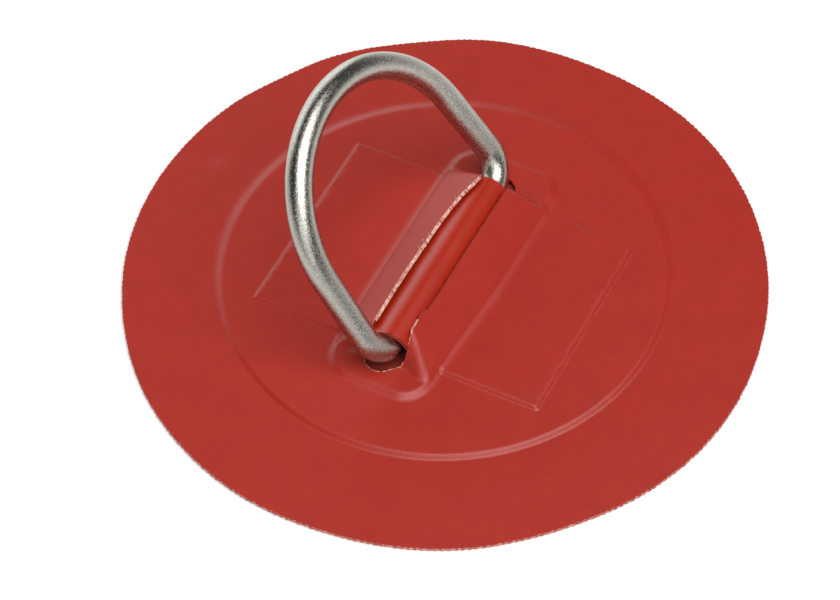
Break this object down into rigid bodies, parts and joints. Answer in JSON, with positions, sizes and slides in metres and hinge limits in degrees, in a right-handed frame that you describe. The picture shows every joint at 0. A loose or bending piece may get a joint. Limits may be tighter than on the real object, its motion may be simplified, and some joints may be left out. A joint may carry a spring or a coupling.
{
  "type": "pad eye",
  "caption": "Round bonded fabric patch with a swinging stainless D-ring held in a loop strap, a lashing and towing point for an inflatable boat.",
  "frame": {"origin": "centre of the patch's underside, on the surface it is bonded to", "axes": "+X along the ring's bar, +Y along the strap towards the side the ring leans to, +Z out of the hull"},
  "size_m": [0.14, 0.14, 0.0475],
  "materials": {
    "cover_fabric": "semi-gloss PVC-coated polyester fabric",
    "doubler_fabric": "semi-gloss PVC-coated polyester fabric",
    "strap_webbing": "semi-gloss PVC-coated polyester fabric",
    "base_fabric": "semi-gloss PVC-coated polyester fabric",
    "ring_steel": "tumbled stainless steel"
  },
  "bodies": {
    "patch": {"base_disc": "base_fabric", "loop_strap": "strap_webbing", "slot_doubler": "doubler_fabric", "cover_disc": "cover_fabric"},
    "ring": {"d_ring": "ring_steel"}
  },
  "joints": [
    {"name": "ring_swing", "type": "hinge", "parent": "patch", "child": "ring", "pos_m": [0, 0, 0.0046], "axis": [1, 0, 0], "range_deg": [-39, 107]}
  ]
}
